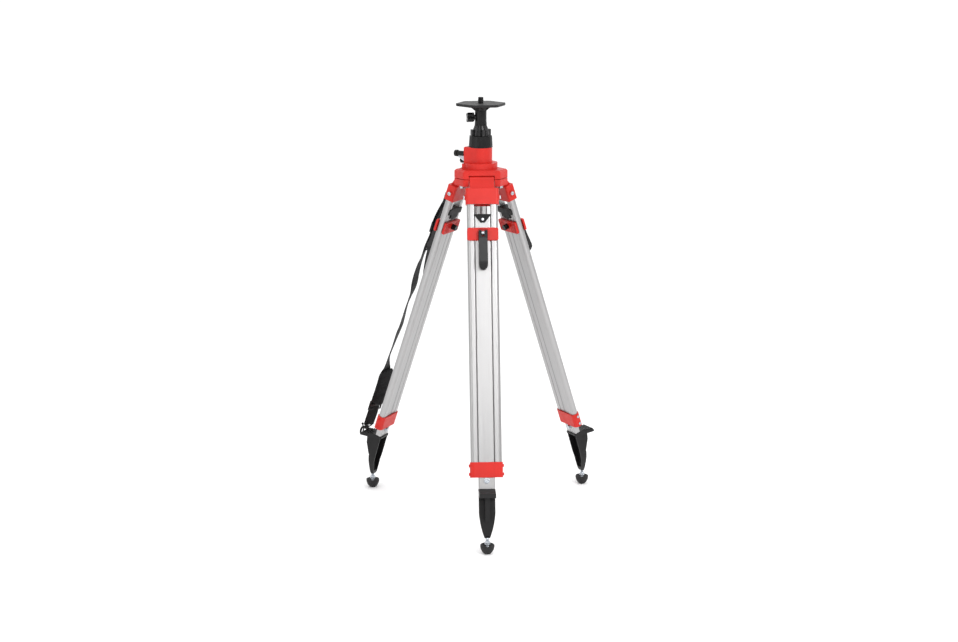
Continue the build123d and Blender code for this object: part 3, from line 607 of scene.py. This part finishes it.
def thread(bm, base, up, across, radius, pitch, length, depth, count=40, lead=0.0012):
    """Screw thread, with both ends tapered over the lead length."""
    side, rows = up.cross(across), int(length / pitch * 8)
    rings = []
    for i in range(rows + 1):
        height = length * i / rows
        taper = max(0, 1 - min(height, length - height) / lead)
        ring = []
        for k in range(count):
            phase = (height / pitch - k / count) % 1
            cut = depth * (1 - abs(2 * phase - 1)) + taper * depth * 0.8
            r, a = radius - min(cut, depth * 1.1), 2 * pi * k / count
            ring.append(base + up * height + across * (r * cos(a)) + side * (r * sin(a)))
        rings.append(ring)
    loft(bm, rings)


def grid_plate(bm, place, xs, ys, holes, thickness):
    """Flat plate on a grid of columns xs and rows ys, open where (column, row) is in holes."""
    verts = {}

    def corner(i, j, k):
        if (i, j, k) not in verts:
            verts[i, j, k] = bm.verts.new(place @ Vector((xs[i], ys[j], (k - 0.5) * thickness)))
        return verts[i, j, k]

    solid = {(i, j) for i in range(len(xs) - 1) for j in range(len(ys) - 1)} - set(holes)
    for i, j in sorted(solid):
        loop = [(i, j), (i + 1, j), (i + 1, j + 1), (i, j + 1)]
        for k in (0, 1):
            ring = [corner(a, b, k) for a, b in loop]
            bm.faces.new(ring if k else ring[::-1])
        for (a, b), (c, d), next_cell in zip(loop, loop[1:] + loop[:1],
                                             ((i, j - 1), (i + 1, j), (i, j + 1), (i - 1, j))):
            if next_cell not in solid:
                bm.faces.new((corner(a, b, 0), corner(c, d, 0), corner(c, d, 1), corner(a, b, 1)))


def rounded(piece, width):
    bevel = piece.modifiers.new("bevel", "BEVEL")
    bevel.width = width
    bevel.segments = 3
    bevel.limit_method = "ANGLE"
    bevel.angle_limit = radians(40)
    return piece


# ---- threads and bolts ------------------------------------------------------------------
STUD_RADIUS, STUD_PITCH, STUD_DEPTH = 0.0079375, 0.0023091, 0.00095
STUD_REACH, STUD_NECK = 0.015, 0.0068           # threaded part above the neck, and the neck's radius
BOLT_RADIUS, BOLT_PITCH, BOLT_DEPTH = 0.004, 0.00125, 0.00055
UP = Vector((0, 0, 1))


def make_stud():
    """5/8-11 stud: a plain neck in the plate, the thread, and a plain domed tip."""
    low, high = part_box("stud")
    bm = bmesh.new()
    base, across = Vector((0, 0, high.z - STUD_REACH)), Vector((1, 0, 0))
    plain = 0.0052
    thread(bm, base, UP, across, STUD_RADIUS, STUD_PITCH, STUD_REACH - plain, STUD_DEPTH)
    tip = [(0.0066, -plain - 0.0004), (0.0071, -plain + 0.0008), (0.0071, -0.0022),
           (0.0067, -0.0009), (0.0056, -0.0002), (0.0040, 0), (0, 0)]
    revolve(bm, tip, Vector((0, 0, high.z)), UP, across, 40)
    neck_top = base.z - low.z + 0.0006
    neck = [(0, 0), (STUD_NECK, 0), (STUD_NECK, neck_top), (0, neck_top)]
    revolve(bm, neck, Vector((0, 0, low.z)), UP, across, 40)
    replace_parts(new_object("stud_thread", bm, FINISHES["black"], "head"), "stud")


def hexagon_nut(bm, centre, radius, height, bore):
    """Nut with its corners chamfered by a cone, top and bottom."""
    rings = []
    for h, shrink in ((0, 0.90), (0.06, 1.0), (0.94, 1.0), (1, 0.90)):
        ring = []
        for i in range(48):
            a = 2 * pi * i / 48
            flat = radius * cos(pi / 6) / cos((a % (pi / 3)) - pi / 6)
            r = min(flat, radius * shrink)
            ring.append(centre + Vector((r * cos(a), r * sin(a), h * height)))
        rings.append(ring)
    rings += [[Vector((centre.x, centre.y, p.z)) + (p - Vector((centre.x, centre.y, p.z))).normalized() * bore
               for p in rings[-1]]]
    loft(bm, rings)


def make_spike_bolt(leg):
    """Threaded bolt of the swivel pad, with its nut and ball."""
    low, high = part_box(f"{leg}_spike_bolt")
    centre = Vector(((low.x + high.x) / 2, (low.y + high.y) / 2, low.z))
    bm = bmesh.new()
    nut_z, nut_h, ball_z, ball_r = 0.0275, 0.0065, 0.040, 0.0049
    washer_r, washer_h = 0.0078, 0.0011
    thread(bm, centre, UP, Vector((1, 0, 0)), BOLT_RADIUS, BOLT_PITCH, ball_z - 0.004 - low.z, BOLT_DEPTH)
    hexagon_nut(bm, Vector((centre.x, centre.y, nut_z)), 0.0069, nut_h, 0.0042)
    ball = [(ball_r * sin(pi * i / 12), -ball_r * cos(pi * i / 12)) for i in range(13)]
    revolve(bm, ball, Vector((centre.x, centre.y, ball_z)), UP, Vector((1, 0, 0)), 24)
    washer = [(0, 0), (washer_r, 0), (washer_r, washer_h), (0, washer_h)]
    revolve(bm, washer, Vector((centre.x, centre.y, nut_z - washer_h)), UP, Vector((1, 0, 0)), 32)
    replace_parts(new_object(f"{leg}_threaded_bolt", bm, FINISHES["zinc"], f"{leg}_foot_pad"),
                f"{leg}_spike_bolt")


# ---- shoulder strap ---------------------------------------------------------------------
# Stations run down the left leg: distance outward of the hinge line, sideways, and down the
# leg in mm, and the band's twist about its length in degrees.
LEFT = LEG_FRAME["left"]
WEB_WIDTH, WEB_THICK = 0.038, 0.0016
MAIN_WEB = [(55.5, -32.5, -176, 4), (57, -32.5, -205, -2), (63, -32.5, -241, -8), (65, -32, -273, -14),
            (67.5, -32, -302, -9), (66.5, -31, -335, -4), (63.5, -30, -362, -2), (61.5, -29, -386, -10),
            (63.3, -28, -410, -16), (64.5, -27, -434, -18), (63, -26, -471, -14), (62.3, -25, -493, -11),
            (63.7, -24, -513, -10), (66, -23, -559, -16), (68.5, -23, -600, -18), (67.5, -24, -625, -8),
            (68, -27.5, -645, 12), (70, -33, -665, 21), (71.5, -37, -685, 22), (72.3, -37.5, -705, 21),
            (71.8, -36, -725, 20), (69, -29, -745, 19), (66.5, -23.5, -762, 20), (65, -20, -780, 22),
            (64, -16.5, -800, 22), (63.5, -14.5, -820, 20)]
RING_WEB = [(51.5, -32.5, -196, 7), (51, -32.5, -168, 6), (47.5, -31.5, -138, 4), (42, -30, -108, 2),
            (38.5, -28, -90, 0), (36.4, -27, -77.5, 0), (38.6, -27, -70.4, 0), (42.2, -27, -75.5, 0),
            (46, -30, -98, 2), (52.5, -32.5, -130, 6), (56.3, -32.5, -158, 7), (57.5, -32.5, -185, 6)]
TAIL_WEB = [(53.5, -32.5, -176, 5), (53, -32.5, -206, 1), (50, -31, -241, -4), (46.5, -27.5, -275, -7),
            (42.5, -25, -305, -12), (40, -24, -328, -15)]


def band_rows(stations, step=0.005):
    """Centre, width direction and normal along a band, in the row frame."""
    rows = curve_through([(x * MM, y * MM, z * MM, radians(twist)) for x, y, z, twist in stations], step)
    out = []
    for i, row in enumerate(rows):
        along = (rows[min(i + 1, len(rows) - 1)] - rows[max(i - 1, 0)]).to_3d().normalized()
        wide = Vector((sin(row[3]), cos(row[3]), 0))
        wide = (wide - along * wide.dot(along)).normalized()
        out.append((LEFT @ row.to_3d(), LEFT.to_3x3() @ wide, LEFT.to_3x3() @ along.cross(wide)))
    return out


def band_length(rows):
    return sum((b[0] - a[0]).length for a, b in zip(rows, rows[1:]))


def make_band(name, stations, material, slant=0.0, columns=10):
    """Flat woven band with rounded selvedges; UV in metres, across and along."""
    rows = band_rows(stations)
    across = [-1 + 2 * i / columns for i in range(columns + 1)]
    section = [(u, 1) for u in across] + [(u, -1) for u in across[::-1]]
    bm = bmesh.new()
    layer = bm.loops.layers.uv.new("band")
    distance, rings, table = 0.0, [], []
    for k, (centre, wide, normal) in enumerate(rows):
        distance += (centre - rows[k - 1][0]).length if k else 0
        end = max(0.0, (k - len(rows) + 5) / 4) if slant else 0.0
        ring = []
        for u, face in section:
            thin = 0.35 if abs(u) > 0.99 else 1.0
            point = centre + wide * (u * WEB_WIDTH / 2) + normal * (face * thin * WEB_THICK / 2)
            point += wide.cross(normal) * (-slant * u * end)
            ring.append(point)
        rings.append(ring)
        table.append(distance)
    made = loft(bm, rings)
    place = {vert: (section[i][0] * WEB_WIDTH / 2, table[k])
             for k, ring in enumerate(made) for i, vert in enumerate(ring)}
    for face in bm.faces:
        for loop in face.loops:
            loop[layer].uv = place[loop.vert]
    return new_object(name, bm, material, "left_outer"), band_length(rows)


def left_place(x, y, z, tilt=0.0, twist=0.0):
    """A flat piece's place on the strap: its X across the band, Y along it, Z its normal."""
    flat = Matrix(((0, 0, 1), (1, 0, 0), (0, 1, 0))).to_4x4()
    turn = Matrix.Rotation(radians(-twist), 4, "Z") @ Matrix.Rotation(radians(tilt), 4, "Y")
    return LEFT @ Matrix.Translation((x * MM, y * MM, z * MM)) @ turn @ flat


def slider(name, x, y, z, tilt, twist):
    """Three-bar slider that joins two layers of webbing."""
    bm = bmesh.new()
    grid_plate(bm, left_place(x, y, z, tilt, twist),
               [v * MM for v in (-24.5, -20.2, 20.2, 24.5)],
               [v * MM for v in (-15.5, -11.8, -3.4, 3.4, 11.8, 15.5)], [(1, 1), (1, 3)], 0.0032)
    return rounded(new_object(name, bm, FINISHES["gloss"], "left_outer", False), 0.0011)


def make_hook():
    """Loop, swivel and snap hook at the strap's lower end."""
    def spot(x, y, z):
        return LEFT @ Vector((x * MM, y * MM, z * MM))

    bm = bmesh.new()
    corners = [(62, -33, -826), (62, 3, -826), (63.5, 4.5, -822), (63.5, 3, -817.5), (63.5, -33, -817.5),
               (63.5, -34.5, -822)]
    loop = [spot(*row) for row in curve_through(corners + corners[:1], 3)][:-1]
    sweep(bm, loop, 0.0019, 12, cyclic=True)
    up = (LEFT.to_3x3() @ Vector((-0.75, -0.1, 0.65))).normalized()
    side = up.orthogonal().normalized()
    barrel = [(0, 0), (0.0054, 0), (0.0060, 0.0006), (0.0060, 0.0036), (0.0048, 0.0044), (0.0048, 0.0062),
              (0.0060, 0.007), (0.0060, 0.0094), (0.0052, 0.0102), (0, 0.0102)]
    revolve(bm, barrel, spot(68.5, -10.5, -830.5), up, side, 24)
    shank = curve_through([(67.5, -10.5, -830), (73, -10, -830.5), (77.5, -8.5, -835.5), (77.8, -6, -843.5),
                           (74.5, -3.5, -851), (70.5, -2, -853)], 1.6)
    count = len(shank) - 1
    sweep(bm, [spot(*row) for row in shank],
          [0.0037 - 0.0014 * (i / count) ** 2 for i in range(count + 1)], 16)
    gate = curve_through([(72.5, -9.6, -831.5), (70.6, -7, -838), (69.8, -4, -846),
                          (70.2, -2.4, -850.5)], 1.6)
    sweep(bm, [spot(*row) for row in gate], 0.0019, 12)
    trigger = curve_through([(75, -9.4, -832), (78, -9, -827.5), (79.5, -8.6, -824.5)], 1.5)
    sweep(bm, [spot(*row) for row in trigger], 0.0016, 12)
    ball = [(0.0036 * sin(pi * i / 12), -0.0036 * cos(pi * i / 12)) for i in range(13)]
    revolve(bm, ball, spot(79.7, -8.6, -823), up, side, 20)
    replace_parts(new_object("strap_hook", bm, FINISHES["gloss"], "left_outer"), "strap_clip")


PAD_SPINE = [(63.3, -26, -640, 10), (65.3, -31.5, -660, 20), (67, -37, -685, 22), (67.9, -37.5, -705, 21),
             (67.4, -36, -725, 20), (64.6, -29, -745, 19), (62.8, -25.5, -755, 19)]
PAD_WIDTH, PAD_THICK, PAD_END = 0.048, 0.0052, 0.009


def pad_half_width(distance, length):
    """Half the pad's width at a distance along it: full, with rounded ends."""
    edge = min(distance, length - distance)
    if edge >= PAD_END:
        return PAD_WIDTH / 2
    return PAD_WIDTH / 2 * (0.45 + 0.55 * sqrt(max(0.0, 1 - (1 - edge / PAD_END) ** 2)))


def make_pad():
    """Foam shoulder pad under the webbing, inflated by cloth simulation, with a sewn edge."""
    rows = band_rows(PAD_SPINE, 0.004)
    length, distance, rings, frames = band_length(rows), 0.0, [], []
    for k, (centre, wide, normal) in enumerate(rows):
        distance += (centre - rows[k - 1][0]).length if k else 0
        half = pad_half_width(distance, length)
        section = [(u, 1) for u in (-1, -0.6, -0.2, 0.2, 0.6, 1)]
        section += [(u, -1) for u in (1, 0.6, 0.2, -0.2, -0.6, -1)]
        rings.append([centre + wide * (u * half) + normal * (f * PAD_THICK / 2) for u, f in section])
        frames.append((centre, wide, normal, half))
    bm = bmesh.new()
    loft(bm, rings)
    pad = new_object("shoulder_pad_cover", bm, pad_fabric(), None)
    remesh = pad.modifiers.new("remesh", "REMESH")
    remesh.mode = "VOXEL"
    remesh.voxel_size = 0.0022
    apply_modifiers(pad)
    inflate(pad)
    sew(pad, frames)
    subdivide = pad.modifiers.new("smooth", "SUBSURF")
    subdivide.levels = subdivide.render_levels = 1
    apply_modifiers(pad)
    for polygon in pad.data.polygons:
        polygon.use_smooth = True
    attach(pad, "left_outer")
    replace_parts(pad, "shoulder_pad")
    make_stitches(frames)


def apply_modifiers(piece):
    bpy.context.view_layer.update()
    done = bpy.data.meshes.new_from_object(piece.evaluated_get(bpy.context.evaluated_depsgraph_get()))
    piece.modifiers.clear()
    piece.data = done


def inflate(piece, cap=0.0022):
    """Blows the closed cover up by cloth pressure, each point moving cap at most."""
    rest = [vert.co.copy() for vert in piece.data.vertices]
    cloth = piece.modifiers.new("cloth", "CLOTH")
    cloth.settings.use_pressure = True
    cloth.settings.uniform_pressure_force = 4
    cloth.settings.effector_weights.gravity = 0
    scene = bpy.context.scene
    for number in range(1, 15):
        scene.frame_set(number)
    bpy.context.view_layer.update()
    shaped = bpy.data.meshes.new_from_object(piece.evaluated_get(bpy.context.evaluated_depsgraph_get()))
    piece.modifiers.clear()
    for vert, start in zip(shaped.vertices, rest):
        move = vert.co - start
        vert.co = start + move * min(1.0, cap / max(move.length, 1e-9))
    piece.data = shaped
    scene.frame_set(1)


def sew(piece, frames, inset=0.0042, depth=0.0013, spread=0.0016):
    """Draws the cover in along a seam that runs round it, inset from its edge."""
    for vert in piece.data.vertices:
        centre, wide, normal, half = min(frames, key=lambda f: (vert.co - f[0]).length_squared)
        offset = vert.co - centre
        across, height = offset.dot(wide), offset.dot(normal)
        near = abs(abs(across) - (half - inset))
        if near < 3 * spread:
            pull = depth * exp(-(near / spread) ** 2)
            vert.co -= normal * (pull if height > 0 else -pull)


def make_stitches(frames):
    """Thread along the pad's seam, a stitch every few millimetres."""
    bm = bmesh.new()
    for side in (1, -1):
        for (centre, wide, normal, half), after in zip(frames[1:-2], frames[2:-1]):
            a = centre + wide * (side * (half - 0.0042)) + normal * 0.0030
            b = after[0] + after[1] * (side * (after[3] - 0.0042)) + after[2] * 0.0030
            step = (b - a) * 0.36
            mid = (a + b) / 2
            sweep(bm, [mid - step, mid - step * 0.5 + normal * 0.0002, mid + step * 0.5 + normal * 0.0002,
                       mid + step], [0.0001, 0.00032, 0.00032, 0.0001], 6)
    stitches = new_object("pad_stitches", bm, FINISHES["thread"], "left_outer")


def make_strap():
    bands = {}
    for name, stations, slant in (("strap_main_band", MAIN_WEB, 0), ("strap_ring_band", RING_WEB, 0),
                                  ("strap_tail_band", TAIL_WEB, 0.012)):
        band, length = make_band(name, stations, FINISHES["webbing"], slant)
        bands[name] = band
    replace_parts(bands["strap_main_band"], "strap_webbing")
    slider("ring_buckle", 41.0, -27.5, -84, 0, 2)
    slider("upper_slider", 54.8, -32.5, -180, 0, 5)
    slider("middle_slider", 55.8, -31.8, -238, 0, -3)
    slider("lower_slider", 65.5, -24.5, -757, 0, 19)
    make_hook()
    make_pad()


# ---- run --------------------------------------------------------------------------------
make_camera()
make_studio()
FINISHES = dress_cad()
FINISHES["webbing"] = webbing("webbing")
FINISHES["thread"] = webbing("sewing_thread", 0.03)
make_stud()
for leg_name in LEGS:
    make_spike_bolt(leg_name)
make_strap()
